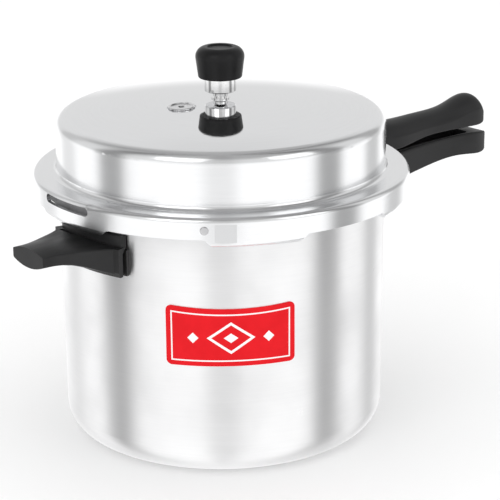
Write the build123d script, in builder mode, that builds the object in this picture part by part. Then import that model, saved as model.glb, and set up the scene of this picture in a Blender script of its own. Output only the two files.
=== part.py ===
from build123d import *

import os
from math import asin, cos, radians, sin, sqrt

# Ten-litre stovetop pressure cooker with an outer bayonet lid. Millimetres, Z up.
# The origin is the middle of the base, and the two long handles point along +X.
# Angles are degrees about Z from +X, seen from above. The lid is in its locked place.

# --- driving dimensions -------------------------------------------------------

# pan
PAN_BASE_R = 127.0              # wall radius at the base
PAN_RIM_R = 128.5               # wall radius under the rim
PAN_WALL = 3.0
PAN_FLOOR = 4.0
BASE_ROUND = 21.0
RIM_TOP = 200.0
RIM_THICK = 3.5
RIM_R = 134.0                   # plain flange between the lugs

# bayonet
LUG_COUNT = 6
LUG_STEP = 360 / LUG_COUNT
LUG_SPAN = 28.0                 # a little under half a step, so that the lid lifts clear
PAN_LUG_R = 143.5
PAN_LUG_EDGE = 3.0              # folded edge of a pan lug
PAN_LUG_BOTTOM = RIM_TOP - 6.0
LUG_GAP = 0.6                   # under the pan lugs, with the gasket squeezed
LID_LUG_TOP = PAN_LUG_BOTTOM - LUG_GAP
LID_LUG_BOTTOM = 189.7
LID_LUG_INNER_R = 133.0

# lid
SHEET = 3.0
RING_TOP = 212.5
RING_UNDER = RING_TOP - SHEET
SKIRT_R = 148.0
SKIRT_INNER_R = SKIRT_R - SHEET
SKIRT_BOTTOM = 196.3
CAP_R = 129.3
DOME_TOP = 265.5
DOME_R = 730.0
CAP_ROUND = 8.7
SHELF_ROUND = 4.0
SKIRT_ROUND = 4.0
LID_LUG_ROUND = 5.5
GAP_LOW_HALF = 45.5             # the gaps between the lugs narrow upward to the skirt
GAP_HIGH_HALF = 38.0
GAP_ROUND = 4.0

# gasket-release window and stop rivet
WINDOW_ANGLE = 177.5
WINDOW_LENGTH = 55.0
WINDOW_HEIGHT = 6.6
WINDOW_Z = 206.5
STOP_ANGLE = 225.0
STOP_Z = 203.4
STOP_REACH = 3.0                # inner end of the stop rivet, between the pan lugs
DENT_ANGLE = 231.0              # facet pressed into the skirt beside the rivet
DENT_WIDTH = 16.0
DENT_TOP = 207.5
DENT_DEPTH = 2.2

# gasket
GASKET_R = 141.5
GASKET_INNER_R = 130.2
GASKET_GAP = 0.3                # over the rim, so that the lid turns freely

# vent tube and weight
VENT_BORE_R = 1.5
VENT_STEM_R = 5.8
VENT_STEM_TOP = 270.8
NOZZLE_R = 4.0
NOZZLE_TOP = 280.2
VENT_SHANK_R = 5.0
VENT_COLLAR_R = 7.2
VENT_NUT_R = 9.5                # across the flats
WEIGHT_R = 12.5
WEIGHT_BOTTOM = 271.2
WEIGHT_SHOULDER = 282.2
CAP_LOW_R = 17.0
CAP_WIDE_R = 19.0
CAP_WIDE_Z = 297.5
CAP_TOP = 306.4

# safety plug
PLUG_REACH = 39.0
PLUG_R = 10.5
PLUG_SHANK_R = 5.0
PLUG_NUT_R = 8.0
FUSE_R = 2.2

# handles
HANDLE_ANGLE = 0
HELPER_ANGLE = 180
PLATE = 2.5                     # bracket plate, curved round the wall
TONGUE_WIDTH = 14.0
TONGUE = 3.0
RIVET_R = 2.0
RIVET_HEAD_R = 3.2
RIVET_HEAD = 1.8
LOW_HEAD = 1.0                  # where something turns past the head
HEAD_ROUND = 0.8                # share of a head's height
RIVET_TURN = 6.6                # degrees to each side of the tongue
RIVET_SEAT = 0.1                # inside a concave wall
SCREW_R = 2.5
SCREW_HEAD_R = 4.5
SCREW_HEAD = 3.0
SCREW_SLOT = 1.2
HANDLE_PLATE_SPAN = 18.0
LID_PLATE = (197.5, 208.0)      # lower and upper edge of the plate
LID_TONGUE_Z = 203.0            # underside of the tongue
LID_TONGUE_TIP = 180.0
LID_SCREW_REACH = 171.0
LID_SCREW_TIP = 211.0
BODY_PLATE = (171.0, 187.0)
BODY_TONGUE_Z = 177.0
BODY_TONGUE_TIP = 162.0
BODY_SCREW_REACH = 153.0
BODY_SCREW_TIP = 184.0
HELPER_PLATE_SPAN = 34.2
HELPER_PLATE = (157.0, 177.0)
HELPER_TONGUE_Z = 169.5
HELPER_TONGUE_TIP = 158.0
HELPER_SCREW_REACH = 150.0
HELPER_SCREW_TIP = 175.5
HELPER_BLOCK_R = 133.8          # clears the rivet heads
HELPER_TOP = 179.5
HELPER_SPAN = 33.2

# badge
BADGE_ANGLE = 232.5
BADGE_LOW = 91.5
BADGE_HIGH = 139.0
BADGE_WIDTH = 96.0
BADGE_SAG = 2.4                 # the upper edge dips in the middle
BADGE_ROUND = 4.2
BADGE_THICK = 0.5


# --- helpers ------------------------------------------------------------------

def radial_plane(angle):
    """Upright plane through Z: local x runs outward at the angle, local y is Z."""
    outward = (cos(radians(angle)), sin(radians(angle)), 0)
    return Plane(origin=(0, 0, 0), x_dir=outward, z_dir=(outward[1], -outward[0], 0))


def spoke_plane(angle, reach, height):
    """Plane that faces outward at the angle, for anything driven in radially."""
    outward = (cos(radians(angle)), sin(radians(angle)), 0)
    place = (reach * outward[0], reach * outward[1], height)
    return Plane(origin=place, x_dir=(-outward[1], outward[0], 0), z_dir=outward)


def corner(sketch, x, y):
    """The corner of a sketch nearest to a place, for rounding it."""
    return sketch.vertices().sort_by_distance((x, y, 0))[0]


def wall_radius(height):
    """Outer radius of the slightly conical pan wall."""
    return PAN_BASE_R + (PAN_RIM_R - PAN_BASE_R) * height / (RIM_TOP - RIM_THICK)


def dome_height(reach, drop=0):
    """Height of the lid's dome at a radius, or of its underside with a drop."""
    radius = DOME_R - drop
    return DOME_TOP - DOME_R + sqrt(radius ** 2 - reach ** 2)


def boxed_section(reach, width, low, high, top_round, bottom_round):
    """Cross-section of a flat-topped handle; the rounds are shares of its height."""
    middle = (reach, 0, (low + high) / 2)
    with BuildSketch(Plane(origin=middle, x_dir=(0, 1, 0), z_dir=(1, 0, 0))) as section:
        Rectangle(width, high - low)
        rows = section.vertices().group_by(Axis.Y)
        fillet(rows[-1], top_round * (high - low))
        fillet(rows[0], bottom_round * (high - low))
    return section.sketch


def arched_section(side, reach, half_width, lower_middle, lower_edge, upper_edge, upper_middle, edge_round):
    """Cross-section of a handle that is arched above and below its upright sides."""
    with BuildSketch(Plane(origin=(side * reach, 0, 0), x_dir=(0, side, 0), z_dir=(side, 0, 0))) as section:
        with BuildLine():
            Line((half_width, lower_edge), (half_width, upper_edge))
            ThreePointArc((half_width, upper_edge), (0, upper_middle), (-half_width, upper_edge))
            Line((-half_width, upper_edge), (-half_width, lower_edge))
            ThreePointArc((-half_width, lower_edge), (0, lower_middle), (half_width, lower_edge))
        make_face()
        fillet(section.vertices(), edge_round)
    return section.sketch


def disc(plane, radius):
    """A round face, for drilling or for a pin."""
    with BuildSketch(plane) as face:
        Circle(radius)
    return face.sketch


def save(part, name):
    part.label = name
    export_step(part, f"parts/{name}.step")


# --- pan ----------------------------------------------------------------------

inner_base_r = PAN_BASE_R - PAN_WALL
inner_rim_r = PAN_RIM_R - PAN_WALL
flange_under = RIM_TOP - RIM_THICK

with BuildPart() as body_pan:
    with BuildSketch(Plane.XZ) as pan_profile:
        with BuildLine():
            Polyline(
                (0, 0),
                (PAN_BASE_R, 0),
                (PAN_RIM_R, flange_under),
                (RIM_R, flange_under),
                (RIM_R, RIM_TOP),
                (inner_rim_r, RIM_TOP),
                (inner_base_r, PAN_FLOOR),
                (0, PAN_FLOOR),
                close=True,
            )
        make_face()
        fillet(corner(pan_profile, PAN_BASE_R, 0), BASE_ROUND)
        fillet(corner(pan_profile, inner_base_r, PAN_FLOOR), BASE_ROUND - PAN_WALL)
        fillet(corner(pan_profile, inner_rim_r, RIM_TOP), 1.5)
    revolve(axis=Axis.Z)
    for index in range(LUG_COUNT):
        with BuildSketch(radial_plane(index * LUG_STEP - LUG_SPAN / 2)) as lug_profile:
            with BuildLine():
                Polyline(
                    (RIM_R - 1, flange_under),
                    (PAN_LUG_R - PAN_LUG_EDGE, flange_under),
                    (PAN_LUG_R - PAN_LUG_EDGE, PAN_LUG_BOTTOM),
                    (PAN_LUG_R, PAN_LUG_BOTTOM),
                    (PAN_LUG_R, RIM_TOP),
                    (RIM_R - 1, RIM_TOP),
                    close=True,
                )
            make_face()
            fillet(corner(lug_profile, PAN_LUG_R, RIM_TOP), 2)
        revolve(axis=Axis.Z, revolution_arc=LUG_SPAN)
    for angle, plate in ((HANDLE_ANGLE, BODY_PLATE), (HELPER_ANGLE, HELPER_PLATE)):
        for turn in (-RIVET_TURN, RIVET_TURN):
            hole = disc(spoke_plane(angle + turn, inner_base_r - PAN_WALL, sum(plate) / 2), RIVET_R)
            extrude(hole, amount=4 * PAN_WALL, mode=Mode.SUBTRACT)
save(body_pan.part, "body_pan")


# --- badge --------------------------------------------------------------------

badge_span = 50                 # wider and taller than the badge, which is then trimmed
blank_low = BADGE_LOW - 2
blank_high = BADGE_HIGH + 2

with BuildPart() as badge:
    with BuildSketch(radial_plane(BADGE_ANGLE - badge_span / 2)):
        with BuildLine():
            Polyline(
                (wall_radius(blank_low), blank_low),
                (wall_radius(blank_low) + BADGE_THICK, blank_low),
                (wall_radius(blank_high) + BADGE_THICK, blank_high),
                (wall_radius(blank_high), blank_high),
                close=True,
            )
        make_face()
    revolve(axis=Axis.Z, revolution_arc=badge_span)
    with BuildSketch(spoke_plane(BADGE_ANGLE, PAN_BASE_R / 2, 0)) as badge_outline:
        with BuildLine():
            Polyline(
                (BADGE_WIDTH / 2, BADGE_HIGH),
                (BADGE_WIDTH / 2, BADGE_LOW),
                (-BADGE_WIDTH / 2, BADGE_LOW),
                (-BADGE_WIDTH / 2, BADGE_HIGH),
            )
            ThreePointArc(
                (-BADGE_WIDTH / 2, BADGE_HIGH),
                (0, BADGE_HIGH - BADGE_SAG),
                (BADGE_WIDTH / 2, BADGE_HIGH),
            )
        make_face()
        fillet(badge_outline.vertices(), BADGE_ROUND)
    extrude(amount=PAN_BASE_R, mode=Mode.INTERSECT)
save(badge.part, "badge")


# --- lid ----------------------------------------------------------------------

cap_inner_r = CAP_R - SHEET
vent_seat = 0.15                # flats faced on the dome for the vent's collar and nut
plug_tilt = asin(PLUG_REACH / DOME_R)
plug_recess = 0.8
plug_floor = 2.0                # sheet left under the recess
plug_outward = (-sin(plug_tilt), 0, cos(plug_tilt))
plug_plane = Plane(
    origin=(-PLUG_REACH, 0, dome_height(PLUG_REACH)),
    x_dir=(cos(plug_tilt), 0, sin(plug_tilt)),
    z_dir=plug_outward,
).offset(-plug_recess)

with BuildPart() as lid:
    with BuildSketch(Plane.XZ) as lid_profile:
        with BuildLine():
            ThreePointArc(
                (0, DOME_TOP),
                (CAP_R / 2, dome_height(CAP_R / 2)),
                (CAP_R, dome_height(CAP_R)),
            )
            Polyline(
                (CAP_R, dome_height(CAP_R)),
                (CAP_R, RING_TOP),
                (SKIRT_R, RING_TOP),
                (SKIRT_R, LID_LUG_BOTTOM),
                (LID_LUG_INNER_R, LID_LUG_BOTTOM),
                (LID_LUG_INNER_R, LID_LUG_TOP),
                (SKIRT_INNER_R, LID_LUG_TOP),
                (SKIRT_INNER_R, RING_UNDER),
                (cap_inner_r, RING_UNDER),
                (cap_inner_r, dome_height(cap_inner_r, SHEET)),
            )
            ThreePointArc(
                (cap_inner_r, dome_height(cap_inner_r, SHEET)),
                (cap_inner_r / 2, dome_height(cap_inner_r / 2, SHEET)),
                (0, DOME_TOP - SHEET),
            )
            Line((0, DOME_TOP - SHEET), (0, DOME_TOP))
        make_face()
        fillet(corner(lid_profile, CAP_R, dome_height(CAP_R)), CAP_ROUND)
        fillet(corner(lid_profile, CAP_R, RING_TOP), SHELF_ROUND)
        fillet(corner(lid_profile, SKIRT_R, RING_TOP), SKIRT_ROUND)
        fillet(corner(lid_profile, SKIRT_R, LID_LUG_BOTTOM), LID_LUG_ROUND)
        fillet(corner(lid_profile, SKIRT_INNER_R, RING_UNDER), SKIRT_ROUND - SHEET)
        fillet(corner(lid_profile, cap_inner_r, RING_UNDER), SHELF_ROUND + SHEET)
        fillet(corner(lid_profile, cap_inner_r, dome_height(cap_inner_r, SHEET)), CAP_ROUND - SHEET)
    revolve(axis=Axis.Z)
    for index in range(LUG_COUNT):
        with BuildSketch(spoke_plane((index + 0.5) * LUG_STEP, LID_LUG_INNER_R / 2, 0)) as lug_gap:
            with BuildLine():
                Polyline(
                    (-GAP_LOW_HALF, LID_LUG_BOTTOM - 1),
                    (GAP_LOW_HALF, LID_LUG_BOTTOM - 1),
                    (GAP_HIGH_HALF, SKIRT_BOTTOM),
                    (-GAP_HIGH_HALF, SKIRT_BOTTOM),
                    close=True,
                )
            make_face()
            fillet(lug_gap.vertices().group_by(Axis.Y)[-1], GAP_ROUND)
        extrude(amount=SKIRT_R, mode=Mode.SUBTRACT)
    with BuildSketch(radial_plane(DENT_ANGLE)):
        with BuildLine():
            Polyline(
                (SKIRT_R + 0.6, LID_LUG_BOTTOM - 1),
                (SKIRT_R - DENT_DEPTH, DENT_TOP),
                (SKIRT_R + 3, DENT_TOP + 1),
                close=True,
            )
        make_face()
    extrude(amount=DENT_WIDTH / 2, both=True, mode=Mode.SUBTRACT)
    with BuildSketch(spoke_plane(WINDOW_ANGLE, SKIRT_INNER_R - 2 * SHEET, WINDOW_Z)):
        SlotOverall(WINDOW_LENGTH, WINDOW_HEIGHT)
    extrude(amount=4 * SHEET, mode=Mode.SUBTRACT)
    for angle, height in (
        (HANDLE_ANGLE - RIVET_TURN, sum(LID_PLATE) / 2),
        (HANDLE_ANGLE + RIVET_TURN, sum(LID_PLATE) / 2),
        (STOP_ANGLE, STOP_Z),
    ):
        hole = disc(spoke_plane(angle, SKIRT_INNER_R - SHEET, height), RIVET_R)
        extrude(hole, amount=3 * SHEET, mode=Mode.SUBTRACT)
    extrude(disc(Plane.XY.offset(DOME_TOP - 2 * SHEET), VENT_SHANK_R), amount=3 * SHEET, mode=Mode.SUBTRACT)
    extrude(disc(Plane.XY.offset(DOME_TOP - vent_seat), VENT_COLLAR_R + 1), amount=SHEET, mode=Mode.SUBTRACT)
    extrude(
        disc(Plane.XY.offset(DOME_TOP - SHEET + vent_seat), VENT_NUT_R + 2),
        amount=-SHEET,
        mode=Mode.SUBTRACT,
    )
    extrude(disc(plug_plane, PLUG_R + 1.2), amount=SHEET, mode=Mode.SUBTRACT)
    extrude(disc(plug_plane.offset(-plug_floor), PLUG_NUT_R + 2), amount=-SHEET, mode=Mode.SUBTRACT)
    extrude(disc(plug_plane, PLUG_SHANK_R), amount=-2 * SHEET, mode=Mode.SUBTRACT)
save(lid.part, "lid")


# --- gasket -------------------------------------------------------------------

gasket_low = RIM_TOP + GASKET_GAP
gasket_lip = 2.8
gasket_web = 4.0

with BuildPart() as gasket:
    with BuildSketch(Plane.XZ) as gasket_profile:
        with BuildLine():
            Polyline(
                (GASKET_INNER_R, gasket_low),
                (GASKET_R, gasket_low),
                (GASKET_R, RING_UNDER),
                (GASKET_INNER_R, RING_UNDER),
                (GASKET_INNER_R, RING_UNDER - gasket_lip),
                (GASKET_R - gasket_web, RING_UNDER - gasket_lip),
                (GASKET_R - gasket_web, gasket_low + gasket_lip),
                (GASKET_INNER_R, gasket_low + gasket_lip),
                close=True,
            )
        make_face()
        fillet(corner(gasket_profile, GASKET_R, gasket_low), 1)
        fillet(corner(gasket_profile, GASKET_R, RING_UNDER), 1)
    revolve(axis=Axis.Z)
save(gasket.part, "gasket")


# --- brackets, rivets and screws ----------------------------------------------

def bracket(angle, span, edges, inner_radius, tongue_low, tongue_tip, screw_reach):
    """Curved plate with a tongue that enters the handle and is tapped for its screw."""
    low, high = edges
    grip = inner_radius(sum(edges) / 2)
    with BuildPart() as made:
        with BuildSketch(radial_plane(angle - span / 2)):
            with BuildLine():
                Polyline(
                    (inner_radius(low), low),
                    (inner_radius(low) + PLATE, low),
                    (inner_radius(high) + PLATE, high),
                    (inner_radius(high), high),
                    close=True,
                )
            make_face()
        revolve(axis=Axis.Z, revolution_arc=span)
        with BuildSketch(Plane.XY.offset(tongue_low).rotated((0, 0, angle))):
            with Locations((grip + PLATE / 2, 0)):
                Rectangle(
                    tongue_tip - grip - PLATE / 2,
                    TONGUE_WIDTH,
                    align=(Align.MIN, Align.CENTER),
                )
            with Locations((screw_reach, 0)):
                Circle(SCREW_R, mode=Mode.SUBTRACT)
        extrude(amount=TONGUE)
        for turn in (-RIVET_TURN, RIVET_TURN):
            hole = disc(spoke_plane(angle + turn, grip - PLATE, sum(edges) / 2), RIVET_R)
            extrude(hole, amount=3 * PLATE, mode=Mode.SUBTRACT)
    return made.part


def rivet(angle, height, inner_face, outer_face, inner_head=RIVET_HEAD, outer_head=RIVET_HEAD):
    """Radial rivet with a low rounded head on both sides of its grip."""
    inner_plane = spoke_plane(angle, inner_face, height)
    outer_plane = spoke_plane(angle, outer_face, height)
    outward = Axis(inner_plane.origin, inner_plane.z_dir)
    with BuildPart() as made:
        extrude(disc(inner_plane, RIVET_R), amount=outer_face - inner_face)
        extrude(disc(inner_plane, RIVET_HEAD_R), amount=-inner_head)
        extrude(disc(outer_plane, RIVET_HEAD_R), amount=outer_head)
        rims = made.edges().filter_by(GeomType.CIRCLE).sort_by(outward)
        fillet(rims[0], HEAD_ROUND * min(inner_head, RIVET_HEAD))
        fillet(rims[-1], HEAD_ROUND * outer_head)
    return made.part


def rivet_pair(angle, height, inner_face, outer_face, **heads):
    """The two rivets of a bracket, one to each side of its tongue."""
    pair = [
        rivet(angle + turn, height, inner_face, outer_face, **heads)
        for turn in (-RIVET_TURN, RIVET_TURN)
    ]
    return Compound(children=pair)


def screw(side, reach, head_low, tip):
    """Slotted handle screw, driven upward through the tongue."""
    place = (side * reach, 0)
    with BuildPart() as made:
        with BuildSketch(Plane.XY.offset(head_low)):
            with Locations(place):
                Circle(SCREW_HEAD_R)
        extrude(amount=SCREW_HEAD)
        with BuildSketch(Plane.XY.offset(head_low + SCREW_HEAD)):
            with Locations(place):
                Circle(SCREW_R)
        extrude(amount=tip - head_low - SCREW_HEAD)
        with BuildSketch(Plane.XY.offset(head_low)):
            with Locations(place):
                Rectangle(2 * SCREW_HEAD_R, SCREW_SLOT)
        extrude(amount=SCREW_SLOT, mode=Mode.SUBTRACT)
    return made.part


def fit_tongue(side, tongue_low, tongue_tip, start):
    """Cut the slot for a bracket tongue in the handle that is being built."""
    with BuildSketch(Plane.XY.offset(tongue_low), mode=Mode.PRIVATE) as slot:
        with Locations((side * (start + tongue_tip) / 2, 0)):
            Rectangle(tongue_tip - start, TONGUE_WIDTH)
    extrude(slot.sketch, amount=TONGUE, mode=Mode.SUBTRACT)


def fit_screw(side, reach, low, head_low, tip):
    """Drill the handle that is being built for its screw, from below."""
    with Locations(Plane(origin=(side * reach, 0, low), z_dir=(0, 0, -1))):
        CounterBoreHole(SCREW_R, SCREW_HEAD_R, head_low + SCREW_HEAD - low, tip - low)


def skirt_radius(_height):
    """Outer radius of the lid's upright skirt."""
    return SKIRT_R


lid_rivet_z = sum(LID_PLATE) / 2
body_rivet_z = sum(BODY_PLATE) / 2
helper_rivet_z = sum(HELPER_PLATE) / 2

save(
    bracket(
        HANDLE_ANGLE, HANDLE_PLATE_SPAN, LID_PLATE, skirt_radius,
        LID_TONGUE_Z, LID_TONGUE_TIP, LID_SCREW_REACH,
    ),
    "lid_handle_bracket",
)
save(
    bracket(
        HANDLE_ANGLE, HANDLE_PLATE_SPAN, BODY_PLATE, wall_radius,
        BODY_TONGUE_Z, BODY_TONGUE_TIP, BODY_SCREW_REACH,
    ),
    "body_handle_bracket",
)
save(
    bracket(
        HELPER_ANGLE, HELPER_PLATE_SPAN, HELPER_PLATE, wall_radius,
        HELPER_TONGUE_Z, HELPER_TONGUE_TIP, HELPER_SCREW_REACH,
    ),
    "helper_handle_bracket",
)
save(
    rivet_pair(
        HANDLE_ANGLE, lid_rivet_z, SKIRT_INNER_R - RIVET_SEAT, SKIRT_R + PLATE,
        inner_head=LOW_HEAD,
    ),
    "lid_handle_rivets",
)
save(
    rivet_pair(
        HANDLE_ANGLE, body_rivet_z,
        wall_radius(body_rivet_z) - PAN_WALL - RIVET_SEAT,
        wall_radius(body_rivet_z) + PLATE + RIVET_SEAT,
    ),
    "body_handle_rivets",
)
save(
    rivet_pair(
        HELPER_ANGLE, helper_rivet_z,
        wall_radius(helper_rivet_z) - PAN_WALL - RIVET_SEAT,
        wall_radius(helper_rivet_z) + PLATE + RIVET_SEAT,
    ),
    "helper_handle_rivets",
)
save(
    rivet(
        STOP_ANGLE, STOP_Z, SKIRT_INNER_R - RIVET_SEAT, SKIRT_R,
        inner_head=STOP_REACH, outer_head=LOW_HEAD,
    ),
    "lid_stop_rivet",
)


# --- long handles -------------------------------------------------------------

# Each row is a cross-section: reach, half width, lower middle, lower edge, upper edge,
# upper middle.
LID_HANDLE_SECTIONS = (
    (147.0, 12.0, 194.2, 194.5, 206.0, 214.6),
    (160.0, 14.0, 193.1, 193.4, 205.5, 215.8),
    (182.0, 16.5, 193.5, 193.8, 204.5, 216.0),
    (205.0, 15.5, 196.3, 196.6, 204.5, 215.8),
    (232.0, 14.2, 198.1, 198.4, 205.0, 216.2),
    (255.0, 14.5, 197.7, 198.0, 206.5, 218.3),
    (273.0, 15.2, 197.3, 197.6, 210.5, 223.0),
    (284.0, 15.2, 197.3, 197.6, 211.0, 222.8),
    (291.5, 12.0, 199.3, 199.6, 206.5, 215.0),
)
lid_handle_round = 1.5

# Each row is a cross-section: reach, width, lower edge, upper edge.
BODY_HANDLE_SECTIONS = (
    (128.0, 22.0, 168.4, 188.2),
    (150.0, 27.0, 167.7, 188.3),
    (175.0, 33.0, 167.4, 190.2),
    (205.0, 30.5, 170.6, 191.6),
    (238.0, 28.5, 174.2, 192.2),
    (264.0, 30.0, 174.0, 192.0),
    (285.0, 30.5, 172.4, 191.0),
    (292.8, 25.5, 174.2, 189.6),
)

handle_face = SKIRT_R + PLATE
lid_screw_head = 196.0
body_screw_head = 171.0
lid_pocket_width = 15.0
lid_pocket = (192.0, 268.0)     # hollow along the underside
lid_pocket_top = 208.5
body_pocket_width = 22.0
body_pocket = (168.0, 274.0)    # hollow along the top
body_pocket_floor = 184.5

with BuildPart() as lid_handle:
    loft([arched_section(1, *row, lid_handle_round) for row in LID_HANDLE_SECTIONS])
    extrude(disc(Plane.XY.offset(RIM_TOP - 20), handle_face), amount=60, mode=Mode.SUBTRACT)
    with BuildSketch(Plane.XY.offset(lid_pocket_top)):
        with Locations((sum(lid_pocket) / 2, 0)):
            RectangleRounded(lid_pocket[1] - lid_pocket[0], lid_pocket_width, 5)
    extrude(amount=-20, mode=Mode.SUBTRACT)
    fit_tongue(1, LID_TONGUE_Z, LID_TONGUE_TIP, handle_face - PLATE)
    fit_screw(1, LID_SCREW_REACH, lid_screw_head - SCREW_HEAD, lid_screw_head, LID_SCREW_TIP)
save(lid_handle.part, "lid_handle")
save(screw(1, LID_SCREW_REACH, lid_screw_head, LID_SCREW_TIP), "lid_handle_screw")

with BuildPart() as body_handle:
    loft([boxed_section(*row, top_round=0.1, bottom_round=0.34) for row in BODY_HANDLE_SECTIONS])
    with BuildSketch(Plane.XZ):
        with BuildLine():
            Polyline(
                (0, BODY_PLATE[0] - 5),
                (wall_radius(BODY_PLATE[0] - 5) + PLATE, BODY_PLATE[0] - 5),
                (wall_radius(BODY_PLATE[1] + 5) + PLATE, BODY_PLATE[1] + 5),
                (0, BODY_PLATE[1] + 5),
                close=True,
            )
        make_face()
    revolve(axis=Axis.Z, mode=Mode.SUBTRACT)
    with BuildSketch(Plane.XY.offset(body_pocket_floor)):
        with Locations((sum(body_pocket) / 2, 0)):
            RectangleRounded(body_pocket[1] - body_pocket[0], body_pocket_width, 5)
    extrude(amount=20, mode=Mode.SUBTRACT)
    fit_tongue(1, BODY_TONGUE_Z, BODY_TONGUE_TIP, PAN_RIM_R)
    fit_screw(1, BODY_SCREW_REACH, body_screw_head - SCREW_HEAD, body_screw_head, BODY_SCREW_TIP)
save(body_handle.part, "body_handle")
save(screw(1, BODY_SCREW_REACH, body_screw_head, BODY_SCREW_TIP), "body_handle_screw")


# --- helper handle ------------------------------------------------------------

# Each row is a cross-section, as for the upper long handle.
HELPER_SECTIONS = (
    (132.0, 36.5, 156.8, 159.0, HELPER_TOP, 181.9),
    (139.0, 32.5, 159.4, 161.6, HELPER_TOP, 182.0),
    (146.0, 29.0, 162.0, 164.4, HELPER_TOP, 182.1),
    (156.0, 25.2, 165.6, 168.4, HELPER_TOP, 182.3),
    (166.0, 21.6, 167.8, 170.9, HELPER_TOP, 182.6),
    (176.0, 19.2, 168.1, 171.8, HELPER_TOP, 183.0),
    (186.3, 19.0, 168.1, 172.4, HELPER_TOP, 183.2),
)
helper_edge_round = 1.2
helper_screw_head = 163.0
collar_top = 188.5              # under the sweep of the lid lugs
collar_inner_r = PAN_RIM_R + 0.7
collar_bow_r = 90.0             # tighter than the pan, so that the collar thins out
collar_reach = 136.6
collar_half_width = 37.0
block_outer_r = 139.0
block_low = 157.2
slot_angle = 172.0
slot_length = 22.0
slot_width = 3.0
slot_depth = 5.0

with BuildPart() as helper_handle:
    loft([arched_section(-1, *row, helper_edge_round) for row in HELPER_SECTIONS])
    extrude(disc(Plane.XY.offset(block_low - 5), HELPER_BLOCK_R), amount=40, mode=Mode.SUBTRACT)
    with BuildSketch(radial_plane(HELPER_ANGLE - HELPER_SPAN / 2)) as block_profile:
        with BuildLine():
            Polyline(
                (collar_inner_r, HELPER_TOP),
                (HELPER_BLOCK_R, HELPER_PLATE[1] - 2),
                (HELPER_BLOCK_R, block_low),
                (block_outer_r - 2, block_low),
                (block_outer_r, block_low + 4),
                (block_outer_r, HELPER_TOP),
                close=True,
            )
        make_face()
    revolve(axis=Axis.Z, revolution_arc=HELPER_SPAN)
    with BuildSketch(Plane.XY.offset(HELPER_TOP - 1)):
        with Locations((collar_bow_r - collar_reach, 0)):
            Circle(collar_bow_r)
        with Locations((-collar_reach, 0)):
            Rectangle(2 * PAN_WALL + 20, 2 * collar_half_width, mode=Mode.INTERSECT)
        Circle(collar_inner_r, mode=Mode.SUBTRACT)
    extrude(amount=collar_top - HELPER_TOP + 1)
    with BuildSketch(Plane.XY.offset(HELPER_TOP - slot_depth).rotated((0, 0, slot_angle))):
        with Locations((block_outer_r - 1, 0)):
            SlotOverall(slot_length, slot_width, rotation=90)
    extrude(amount=2 * slot_depth, mode=Mode.SUBTRACT)
    fit_tongue(-1, HELPER_TONGUE_Z, HELPER_TONGUE_TIP, PAN_RIM_R)
    fit_screw(-1, HELPER_SCREW_REACH, helper_screw_head - 2 * SCREW_HEAD, helper_screw_head, HELPER_SCREW_TIP)
save(helper_handle.part, "helper_handle")
save(screw(-1, HELPER_SCREW_REACH, helper_screw_head, HELPER_SCREW_TIP), "helper_handle_screw")


# --- vent tube ----------------------------------------------------------------

vent_low = DOME_TOP - vent_seat             # underside of the collar
collar_high = vent_low + 1.0
vent_under = DOME_TOP - SHEET + vent_seat   # flat under the dome
washer_thick = 1.2
nut_thick = 6.0
vent_end = vent_under - washer_thick - nut_thick - 3

with BuildPart() as vent_tube:
    with BuildSketch(Plane.XZ) as vent_profile:
        with BuildLine():
            Polyline(
                (VENT_BORE_R, vent_end),
                (VENT_SHANK_R, vent_end),
                (VENT_SHANK_R, vent_low),
                (VENT_COLLAR_R, vent_low),
                (VENT_COLLAR_R, collar_high),
                (VENT_STEM_R - 0.8, collar_high),
                (VENT_STEM_R - 0.8, collar_high + 1),
                (VENT_STEM_R, collar_high + 1.4),
                (VENT_STEM_R, VENT_STEM_TOP - 0.8),
                (VENT_STEM_R - 0.8, VENT_STEM_TOP),
                (NOZZLE_R, VENT_STEM_TOP),
                (NOZZLE_R, NOZZLE_TOP - 2),
                (NOZZLE_R - 1.4, NOZZLE_TOP),
                (VENT_BORE_R + 0.4, NOZZLE_TOP),
                (VENT_BORE_R, NOZZLE_TOP - 0.6),
                close=True,
            )
        make_face()
    revolve(axis=Axis.Z)
save(vent_tube.part, "vent_tube")

with BuildPart() as vent_washer:
    with BuildSketch(Plane.XY.offset(vent_under - washer_thick)):
        Circle(VENT_NUT_R + 1.5)
        Circle(VENT_SHANK_R, mode=Mode.SUBTRACT)
    extrude(amount=washer_thick)
save(vent_washer.part, "vent_tube_washer")

with BuildPart() as vent_nut:
    with BuildSketch(Plane.XY.offset(vent_under - washer_thick - nut_thick)):
        RegularPolygon(VENT_NUT_R, 6, major_radius=False)
        Circle(VENT_SHANK_R, mode=Mode.SUBTRACT)
    extrude(amount=nut_thick)
save(vent_nut.part, "vent_tube_nut")


# --- safety plug --------------------------------------------------------------

plug_washer = 1.0
plug_nut = 4.0
plug_end = plug_floor + plug_washer + plug_nut + 2
plug_profile_plane = Plane(origin=plug_plane.origin, x_dir=plug_plane.x_dir, z_dir=(0, -1, 0))
plug_axis = Axis(plug_plane.origin, plug_plane.z_dir)

with BuildPart() as safety_plug:
    with BuildSketch(plug_profile_plane):
        with BuildLine():
            Polyline(
                (FUSE_R, -plug_end),
                (PLUG_SHANK_R, -plug_end),
                (PLUG_SHANK_R, 0),
                (PLUG_R, 0),
                (PLUG_R, 1.8),
                (PLUG_R - 0.4, 2.2),
                (PLUG_R - 1.8, 2.2),
                (PLUG_R - 2.4, 1.4),
                (FUSE_R + 0.8, 1.4),
                (FUSE_R, 0.9),
                close=True,
            )
        make_face()
    revolve(axis=plug_axis)
save(safety_plug.part, "safety_plug_body")

with BuildPart() as safety_core:
    extrude(disc(plug_plane.offset(-plug_end), FUSE_R), amount=plug_end + 0.7)
save(safety_core.part, "safety_plug_core")

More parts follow.
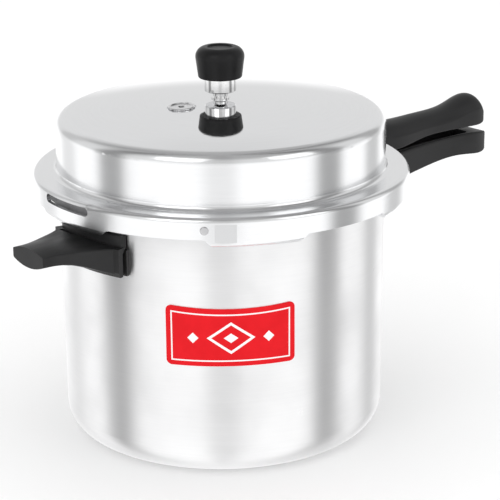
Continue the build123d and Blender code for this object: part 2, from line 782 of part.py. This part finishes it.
with BuildPart() as safety_washer:
    with BuildSketch(plug_plane.offset(-plug_floor - plug_washer)):
        Circle(PLUG_NUT_R + 1)
        Circle(PLUG_SHANK_R, mode=Mode.SUBTRACT)
    extrude(amount=plug_washer)
save(safety_washer.part, "safety_plug_washer")

with BuildPart() as safety_nut:
    with BuildSketch(plug_plane.offset(-plug_floor - plug_washer - plug_nut)):
        RegularPolygon(PLUG_NUT_R, 6, major_radius=False)
        Circle(PLUG_SHANK_R, mode=Mode.SUBTRACT)
    extrude(amount=plug_nut)
save(safety_nut.part, "safety_plug_nut")


# --- regulator weight ---------------------------------------------------------

nozzle_play = 0.3
weight_cavity = NOZZLE_TOP + 0.8
stud_r = 7.5
stud_top = 299.0
pin_r = 2.0
pin_tip_r = 0.9
cap_recess_r = 10.0

with BuildPart() as weight_body:
    with BuildSketch(Plane.XZ) as weight_profile:
        with BuildLine():
            Polyline(
                (NOZZLE_R + nozzle_play, WEIGHT_BOTTOM),
                (WEIGHT_R, WEIGHT_BOTTOM),
                (WEIGHT_R, WEIGHT_SHOULDER),
                (stud_r, WEIGHT_SHOULDER),
                (stud_r, stud_top),
                (pin_r, stud_top),
                (pin_r, weight_cavity),
                (NOZZLE_R + nozzle_play, weight_cavity),
                close=True,
            )
        make_face()
        chamfer(corner(weight_profile, WEIGHT_R, WEIGHT_BOTTOM), 0.8)
    revolve(axis=Axis.Z)
save(weight_body.part, "weight_body")

with BuildPart() as weight_pin:
    with BuildSketch(Plane.XZ):
        with BuildLine():
            Polyline(
                (0, NOZZLE_TOP - 1.2),
                (pin_tip_r, NOZZLE_TOP - 0.6),
                (pin_r, weight_cavity),
                (pin_r, stud_top),
                (0, stud_top),
                close=True,
            )
        make_face()
    revolve(axis=Axis.Z)
save(weight_pin.part, "weight_pin")

with BuildPart() as weight_cap:
    with BuildSketch(Plane.XZ) as cap_profile:
        with BuildLine():
            Polyline(
                (0, stud_top),
                (stud_r, stud_top),
                (stud_r, WEIGHT_SHOULDER),
                (CAP_LOW_R, WEIGHT_SHOULDER),
                (CAP_WIDE_R, CAP_WIDE_Z),
            )
            ThreePointArc(
                (CAP_WIDE_R, CAP_WIDE_Z),
                (CAP_WIDE_R - 2.0, CAP_TOP - 2.4),
                (cap_recess_r + 2.5, CAP_TOP),
            )
            Polyline(
                (cap_recess_r + 2.5, CAP_TOP),
                (cap_recess_r, CAP_TOP),
                (cap_recess_r - 0.8, CAP_TOP - 1.2),
                (0, CAP_TOP - 1.2),
                (0, stud_top),
            )
        make_face()
        fillet(corner(cap_profile, CAP_LOW_R, WEIGHT_SHOULDER), 1.2)
    revolve(axis=Axis.Z)
save(weight_cap.part, "weight_cap")
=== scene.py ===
from math import cos, pi, radians, sin

import bpy
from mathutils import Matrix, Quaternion, Vector


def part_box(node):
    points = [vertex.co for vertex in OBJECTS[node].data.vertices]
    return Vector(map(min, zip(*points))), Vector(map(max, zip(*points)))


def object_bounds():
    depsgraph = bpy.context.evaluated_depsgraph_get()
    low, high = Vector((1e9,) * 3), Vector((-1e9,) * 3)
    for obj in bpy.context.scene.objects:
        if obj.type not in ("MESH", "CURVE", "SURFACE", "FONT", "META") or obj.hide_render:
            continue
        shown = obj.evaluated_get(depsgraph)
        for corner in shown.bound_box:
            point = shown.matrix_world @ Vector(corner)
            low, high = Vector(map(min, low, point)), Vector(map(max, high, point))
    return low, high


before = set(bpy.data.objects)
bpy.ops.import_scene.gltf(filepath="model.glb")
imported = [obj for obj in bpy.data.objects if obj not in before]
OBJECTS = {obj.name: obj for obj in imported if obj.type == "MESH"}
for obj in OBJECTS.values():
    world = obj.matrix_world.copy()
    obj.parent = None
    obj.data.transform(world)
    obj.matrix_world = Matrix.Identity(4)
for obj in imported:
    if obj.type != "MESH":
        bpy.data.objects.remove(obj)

CAD_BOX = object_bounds()

# Ten-litre pressure cooker on a pale floor. Metres, Z up. Turns are degrees about Z from +X.

# --- camera -----------------------------------------------------------------------

CAMERA_TURN = 229.14
CAMERA_RISE = 18.13
CAMERA_DISTANCE = 1.540
CAMERA_LENS = 138.7
CAMERA_ROLL = -0.48
SENSOR_WIDTH = 36
FAR_CLIP = 100
AIM = Vector((0.0167, -0.0144, 0.1405))


def direction(turn, rise):
    """Unit vector from the object outward."""
    level = cos(radians(rise))
    return Vector((level * cos(radians(turn)), level * sin(radians(turn)), sin(radians(rise))))


def add_camera():
    """A long lens a little above the rim, looking down at the badge side."""
    outward = direction(CAMERA_TURN, CAMERA_RISE)
    data = bpy.data.cameras.new("camera")
    data.lens = CAMERA_LENS
    data.sensor_width = SENSOR_WIDTH
    data.clip_end = FAR_CLIP
    camera = bpy.data.objects.new("camera", data)
    camera.rotation_mode = "QUATERNION"
    look = (-outward).to_track_quat("-Z", "Y")
    camera.rotation_quaternion = look @ Quaternion((0, 0, 1), radians(CAMERA_ROLL))
    camera.location = AIM + CAMERA_DISTANCE * outward
    bpy.context.scene.collection.objects.link(camera)
    bpy.context.scene.camera = camera


# --- node helpers -----------------------------------------------------------------

NOISE_RANGE = (0.3, 0.7)        # noise seldom leaves this range
NOISE_ROUGHNESS = 0.6


def grey(value):
    return (value, value, value)


def calculated(tree, operation, first, second=None, third=None):
    """One math node; each operand is a number or another node's output."""
    node = tree.nodes.new("ShaderNodeMath")
    node.operation = operation
    for socket, value in zip(node.inputs, (first, second, third)):
        if isinstance(value, (int, float)):
            socket.default_value = value
        elif value is not None:
            tree.links.new(value, socket)
    return node.outputs[0]


def spread(tree, value, result, source=NOISE_RANGE, smooth=False):
    """Map a value from one range to another."""
    node = tree.nodes.new("ShaderNodeMapRange")
    if smooth:
        node.interpolation_type = "SMOOTHSTEP"
    node.inputs["From Min"].default_value, node.inputs["From Max"].default_value = source
    node.inputs["To Min"].default_value, node.inputs["To Max"].default_value = result
    tree.links.new(value, node.inputs["Value"])
    return node.outputs[0]


def ramp(tree, value, stops):
    """Colour at a value, eased between stops of place and colour."""
    node = tree.nodes.new("ShaderNodeValToRGB")
    band = node.color_ramp
    band.interpolation = "EASE"
    while len(band.elements) > 1:
        band.elements.remove(band.elements[-1])
    for index, (place, colour) in enumerate(stops):
        element = band.elements[0] if index == 0 else band.elements.new(place)
        element.position = place
        element.color = (*colour, 1)
    tree.links.new(value, node.inputs[0])
    return node.outputs[0]


def axes(tree, vector):
    """The X, Y and Z of a vector."""
    node = tree.nodes.new("ShaderNodeSeparateXYZ")
    tree.links.new(vector, node.inputs[0])
    return node.outputs["X"], node.outputs["Y"], node.outputs["Z"]


def joined(tree, **parts):
    """A vector from values for its named axes."""
    node = tree.nodes.new("ShaderNodeCombineXYZ")
    for axis, value in parts.items():
        tree.links.new(value, node.inputs[axis])
    return node.outputs[0]


def object_place(tree):
    return tree.nodes.new("ShaderNodeTexCoord").outputs["Object"]


def noise(tree, vector, scale, detail):
    node = tree.nodes.new("ShaderNodeTexNoise")
    node.inputs["Scale"].default_value = scale
    node.inputs["Detail"].default_value = detail
    node.inputs["Roughness"].default_value = NOISE_ROUGHNESS
    tree.links.new(vector, node.inputs["Vector"])
    return node.outputs["Fac"]


# --- studio -----------------------------------------------------------------------

# The studio is one even room over a pale table. A few upright cards stand round it, so
# that polished metal shows soft bands: a dark pair at the sides, a lighter pair further
# round, and a faint one at the camera. Only reflections see the room and its cards.
TABLE_LEVEL = 1.15
ROOM_LEVEL = 0.76
CEILING_LEVEL = 0.42
HORIZON = (-0.08, 0.12)         # upward part of the view direction, where table meets room
CEILING = (0.45, 0.85)          # and where room meets ceiling
DAYLIGHT = 1.06                 # even light that falls on the matt surfaces
CARD_EDGE = 12                  # degrees over which a card fades out
CARDS = (                       # degrees from the camera's direction, width, shade
    (-80, 10, 0.35),
    (80, 10, 0.35),
    (-130, 10, 0.75),
    (130, 10, 0.55),
    (0, 10, 0.8),
)

FLOOR_R = 6.0
FLOOR_SIDES = 96
FLOOR_SHADE = 0.97

PANELS = (                      # name, turn, rise, power
    ("key", 200, 35, 5),
    ("fill", 280, 30, 3),
)
PANEL_DISTANCE = 2.4
PANEL_SIZE = 1.2


def turn_share(turn):
    """A direction about Z as a share of a full turn, from the -X direction."""
    return ((turn + 180) % 360) / 360


def card_stops():
    """Shade of the cards round the studio, as stops over a full turn."""
    stops = []
    for turn, width, shade in CARDS:
        fade = width / 2 + CARD_EDGE
        for offset, level in ((-fade, 1.0), (-width / 2, shade), (width / 2, shade), (fade, 1.0)):
            stops.append((turn_share(CAMERA_TURN + turn + offset), grey(level)))
    return sorted(stops)


def room_level(tree):
    """Brightness of the room in the direction that a reflection looks."""
    x, y, height = axes(tree, tree.nodes.new("ShaderNodeTexCoord").outputs["Generated"])
    turn = calculated(tree, "ARCTAN2", y, x)
    cards = ramp(tree, spread(tree, turn, (0, 1), (-pi, pi)), card_stops())
    wall = spread(tree, height, (TABLE_LEVEL, ROOM_LEVEL), HORIZON, smooth=True)
    overhead = spread(tree, height, (1, CEILING_LEVEL / ROOM_LEVEL), CEILING, smooth=True)
    return calculated(tree, "MULTIPLY", calculated(tree, "MULTIPLY", wall, overhead), cards)


def add_world():
    """Pale studio: white to the eye, even on matt surfaces, banded in polished metal."""
    world = bpy.data.worlds.new("studio")
    bpy.context.scene.world = world
    world.use_nodes = True
    tree = world.node_tree
    tree.nodes.clear()
    difference = calculated(tree, "SUBTRACT", room_level(tree), DAYLIGHT)
    reflected = tree.nodes.new("ShaderNodeLightPath").outputs["Is Glossy Ray"]
    change = calculated(tree, "MULTIPLY", reflected, difference)
    background = tree.nodes.new("ShaderNodeBackground")
    background.inputs["Color"].default_value = (*grey(1), 1)
    tree.links.new(calculated(tree, "ADD", change, DAYLIGHT), background.inputs["Strength"])
    output = tree.nodes.new("ShaderNodeOutputWorld")
    tree.links.new(background.outputs[0], output.inputs[0])


def add_floor():
    """A large round pale floor that the pan stands on."""
    rim = []
    for side in range(FLOOR_SIDES):
        turn = radians(360 * side / FLOOR_SIDES)
        rim.append((FLOOR_R * cos(turn), FLOOR_R * sin(turn), CAD_BOX[0][2]))
    mesh = bpy.data.meshes.new("floor")
    mesh.from_pydata(rim, [], [tuple(range(FLOOR_SIDES))])
    floor = bpy.data.objects.new("floor", mesh)
    bpy.context.scene.collection.objects.link(floor)
    mesh.materials.append(floor_paper())
    floor.visible_glossy = False


def add_panel(name, turn, rise, power):
    """A soft area light that faces the middle of the object."""
    data = bpy.data.lights.new(name, "AREA")
    data.shape = "RECTANGLE"
    data.size = PANEL_SIZE
    data.size_y = PANEL_SIZE
    data.energy = power
    panel = bpy.data.objects.new(name, data)
    outward = direction(turn, rise)
    panel.location = AIM + PANEL_DISTANCE * outward
    panel.rotation_euler = (-outward).to_track_quat("-Z", "Y").to_euler()
    bpy.context.scene.collection.objects.link(panel)


# --- materials --------------------------------------------------------------------

LATHE_ROUND = 0.004             # how slowly lathe marks change on the way round
SATIN_EDGE = 0.006              # radius over which polish turns to satin
SMEAR = 0.22                    # how far soft smears change the roughness of metal
METAL_RANGE = (0.35, 0.65)      # noise range over which the tint of metal drifts
FLOW_STRETCH = (0.22, 1, 1)     # flow marks run along the handles
FLOW_SCALE = 90


def new_material(name):
    """A material, its node tree and its shader."""
    material = bpy.data.materials.new(name)
    material.use_nodes = True
    tree = material.node_tree
    return material, tree, tree.nodes["Principled BSDF"]


def tint(tree, shader, value, colour, share, places=NOISE_RANGE):
    """Base colour that drifts to a share of itself as the value rises."""
    drifted = tuple(share * part for part in colour)
    tree.links.new(ramp(tree, value, zip(places, (colour, drifted))), shader.inputs["Base Color"])


def bump(tree, shader, value, strength, distance):
    node = tree.nodes.new("ShaderNodeBump")
    node.inputs["Strength"].default_value = strength
    node.inputs["Distance"].default_value = distance
    tree.links.new(value, node.inputs["Height"])
    tree.links.new(node.outputs[0], shader.inputs["Normal"])


def floor_paper():
    """Matt white paper."""
    material, _, shader = new_material("floor_paper")
    shader.inputs["Base Color"].default_value = (*grey(FLOOR_SHADE), 1)
    shader.inputs["Roughness"].default_value = 1
    return material


def lathe_coordinates(tree, place):
    """Radius, and coordinates in which radius and height vary fast, the way round slowly."""
    x, y, z = axes(tree, place)
    length = tree.nodes.new("ShaderNodeVectorMath")
    length.operation = "LENGTH"
    tree.links.new(joined(tree, X=x, Y=y), length.inputs[0])
    radius = length.outputs["Value"]
    around = calculated(tree, "MULTIPLY", calculated(tree, "ARCTAN2", y, x), LATHE_ROUND)
    return radius, joined(tree, X=radius, Y=around, Z=z)


def turned_aluminium(name, colour, polish, satin, satin_from, lathe, anisotropic):
    """Sheet aluminium with lathe marks: polished in the middle, satin beyond a radius."""
    material, tree, shader = new_material(name)
    shader.inputs["Metallic"].default_value = 1
    shader.inputs["Anisotropic"].default_value = anisotropic
    shader.inputs["Anisotropic Rotation"].default_value = 0.25
    around = tree.nodes.new("ShaderNodeTangent")
    around.direction_type = "RADIAL"
    around.axis = "Z"
    tree.links.new(around.outputs[0], shader.inputs["Tangent"])
    place = object_place(tree)
    radius, marks = lathe_coordinates(tree, place)
    level = spread(tree, radius, (polish, satin), (satin_from, satin_from + SATIN_EDGE), smooth=True)
    smears = spread(tree, noise(tree, place, scale=14, detail=4), (1 - SMEAR, 1 + SMEAR))
    tree.links.new(calculated(tree, "MULTIPLY", level, smears), shader.inputs["Roughness"])
    tint(tree, shader, noise(tree, marks, scale=900, detail=2), colour, share=0.985, places=METAL_RANGE)
    bump(tree, shader, noise(tree, marks, scale=1600, detail=2), strength=lathe, distance=0.0002)
    return material


def moulded_plastic(name, colour, roughness, specular=0.3):
    """Dark moulding, enamel or rubber: satin skin, faint flow marks and fine grain."""
    material, tree, shader = new_material(name)
    shader.inputs["Specular IOR Level"].default_value = specular
    place = object_place(tree)
    drawn_out = tree.nodes.new("ShaderNodeVectorMath")
    drawn_out.operation = "MULTIPLY"
    drawn_out.inputs[1].default_value = FLOW_STRETCH
    tree.links.new(place, drawn_out.inputs[0])
    flow = noise(tree, drawn_out.outputs[0], FLOW_SCALE, detail=4)
    tint(tree, shader, flow, colour, share=1.35)
    tree.links.new(spread(tree, flow, roughness), shader.inputs["Roughness"])
    bump(tree, shader, noise(tree, place, scale=1400, detail=2), strength=0.12, distance=0.0002)
    return material


def bright_metal(name, colour, roughness):
    """Small turned or drawn metal parts."""
    material, tree, shader = new_material(name)
    shader.inputs["Metallic"].default_value = 1
    marks = noise(tree, object_place(tree), scale=260, detail=3)
    tint(tree, shader, marks, colour, share=0.9, places=METAL_RANGE)
    tree.links.new(spread(tree, marks, roughness), shader.inputs["Roughness"])
    bump(tree, shader, marks, strength=0.02, distance=0.0003)
    return material


# --- badge ------------------------------------------------------------------------

BADGE_TURN = -127.5             # the badge's middle
BADGE_R = 0.1284
BADGE_WIDTH = 0.098             # round the wall
BADGE_SAG = 0.0024              # dip of the upper edge
BORDER_INSET = 0.0042
BORDER_LINE = 0.0011
LOZENGE_HALF = 0.0165
LOZENGE_SLOPE = 1.45
LOZENGE_LINE = 0.0034
DOT_REACH = 0.0285
DOT_HALF = 0.0042
BADGE_REDS = ((0.72, 0.006, 0.012), (0.78, 0.008, 0.015))
BADGE_WHITE = 0.9


def badge_border(tree, across, height, half_height):
    """1 on a thin line inside the badge's outline, which dips along its upper edge."""
    half_width = BADGE_WIDTH / 2
    side = half_width - BORDER_INSET
    top = half_height - BORDER_INSET
    share = calculated(tree, "POWER", calculated(tree, "DIVIDE", across, half_width), 2.0)
    dip = calculated(tree, "MULTIPLY", calculated(tree, "SUBTRACT", 1.0, share), BADGE_SAG)
    above = calculated(tree, "ADD", calculated(tree, "SUBTRACT", height, top), dip)
    below = calculated(tree, "SUBTRACT", calculated(tree, "MULTIPLY", height, -1.0), top)
    beyond = calculated(tree, "SUBTRACT", across, side)
    edge = calculated(tree, "MAXIMUM", calculated(tree, "MAXIMUM", above, below), beyond)
    return calculated(tree, "COMPARE", edge, 0.0, BORDER_LINE / 2)


def badge_figure(tree, across, height):
    """1 on a lozenge line, on its filled core and on the dot at each side."""
    up = calculated(tree, "ABSOLUTE", calculated(tree, "ADD", height, BADGE_SAG / 2))
    slanted = calculated(tree, "MULTIPLY_ADD", up, LOZENGE_SLOPE, across)
    lozenge = calculated(tree, "COMPARE", slanted, LOZENGE_HALF, LOZENGE_LINE / 2)
    core = calculated(tree, "LESS_THAN", slanted, LOZENGE_HALF / 3)
    beside = calculated(tree, "ABSOLUTE", calculated(tree, "SUBTRACT", across, DOT_REACH))
    dots = calculated(tree, "LESS_THAN", calculated(tree, "ADD", beside, up), DOT_HALF)
    return calculated(tree, "MAXIMUM", calculated(tree, "MAXIMUM", lozenge, core), dots)


def badge_print(tree, place):
    """1 where the badge is printed white, and 0 where it is red."""
    low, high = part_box("badge")
    x, y, z = axes(tree, place)
    turn = calculated(tree, "SUBTRACT", calculated(tree, "ARCTAN2", y, x), radians(BADGE_TURN))
    across = calculated(tree, "ABSOLUTE", calculated(tree, "MULTIPLY", turn, BADGE_R))
    height = calculated(tree, "SUBTRACT", z, (low[2] + high[2]) / 2)
    border = badge_border(tree, across, height, (high[2] - low[2]) / 2)
    return calculated(tree, "MAXIMUM", border, badge_figure(tree, across, height))


def printed_badge(name):
    """Red enamel with a white border line and a plain white lozenge between two dots."""
    material, tree, shader = new_material(name)
    shader.inputs["Specular IOR Level"].default_value = 0.15
    place = object_place(tree)
    flow = noise(tree, place, scale=60, detail=3)
    colour = tree.nodes.new("ShaderNodeMix")
    colour.data_type = "RGBA"
    tree.links.new(badge_print(tree, place), colour.inputs["Factor"])
    tree.links.new(ramp(tree, flow, zip(NOISE_RANGE, BADGE_REDS)), colour.inputs["A"])
    colour.inputs["B"].default_value = (*grey(BADGE_WHITE), 1)
    tree.links.new(colour.outputs["Result"], shader.inputs["Base Color"])
    tree.links.new(spread(tree, flow, (0.36, 0.46)), shader.inputs["Roughness"])
    bump(tree, shader, noise(tree, place, scale=900, detail=2), strength=0.05, distance=0.0001)
    return material


# --- the pieces and their materials -----------------------------------------------

HANDLES = ("lid_handle", "body_handle", "helper_handle")


def give(material, *names):
    """Put a material in every slot of the named CAD nodes."""
    for name in names:
        for slot in OBJECTS[name].material_slots:
            slot.material = material


def finish_sheet():
    pan = turned_aluminium(
        "pan_aluminium", (0.92, 0.92, 0.925),
        polish=0.34, satin=0.34, satin_from=0.12, lathe=0.025, anisotropic=0.9,
    )
    lid = turned_aluminium(
        "lid_aluminium", (0.91, 0.915, 0.925),
        polish=0.03, satin=0.2, satin_from=0.117, lathe=0.03, anisotropic=0.55,
    )
    give(pan, "body_pan")
    give(lid, "lid")
    give(printed_badge("badge_enamel"), "badge")


def finish_handles():
    phenolic = moulded_plastic("black_phenolic", (0.014, 0.014, 0.0145), (0.36, 0.5))
    enamel = moulded_plastic("bracket_enamel", grey(0.014), (0.3, 0.4))
    rivet = bright_metal("rivet_aluminium", (0.66, 0.66, 0.67), (0.24, 0.34))
    screw = bright_metal("screw_steel", (0.62, 0.62, 0.63), (0.2, 0.32))
    for handle in HANDLES:
        give(phenolic, handle)
        give(enamel, handle + "_bracket")
        give(rivet, handle + "_rivets")
        give(screw, handle + "_screw")
    give(rivet, "lid_stop_rivet")


def finish_valves():
    cap = moulded_plastic("black_cap_phenolic", (0.008, 0.008, 0.0085), (0.32, 0.42), specular=0.22)
    steel = bright_metal("valve_steel", grey(0.9), (0.06, 0.12))
    plug = bright_metal("plug_aluminium", (0.84, 0.84, 0.85), (0.2, 0.28))
    fuse = bright_metal("fuse_alloy", (0.12, 0.12, 0.125), (0.45, 0.6))
    rubber = moulded_plastic("gasket_rubber", (0.2, 0.2, 0.204), (0.26, 0.38))
    give(cap, "weight_cap")
    give(steel, "vent_tube", "vent_tube_nut", "weight_body", "weight_pin", "safety_plug_nut")
    give(plug, "safety_plug_body")
    give(fuse, "safety_plug_core")
    give(rubber, "gasket", "vent_tube_washer", "safety_plug_washer")


def main():
    add_camera()
    add_world()
    add_floor()
    for panel in PANELS:
        add_panel(*panel)
    finish_sheet()
    finish_handles()
    finish_valves()
    bpy.context.scene.view_settings.view_transform = "Standard"


main()
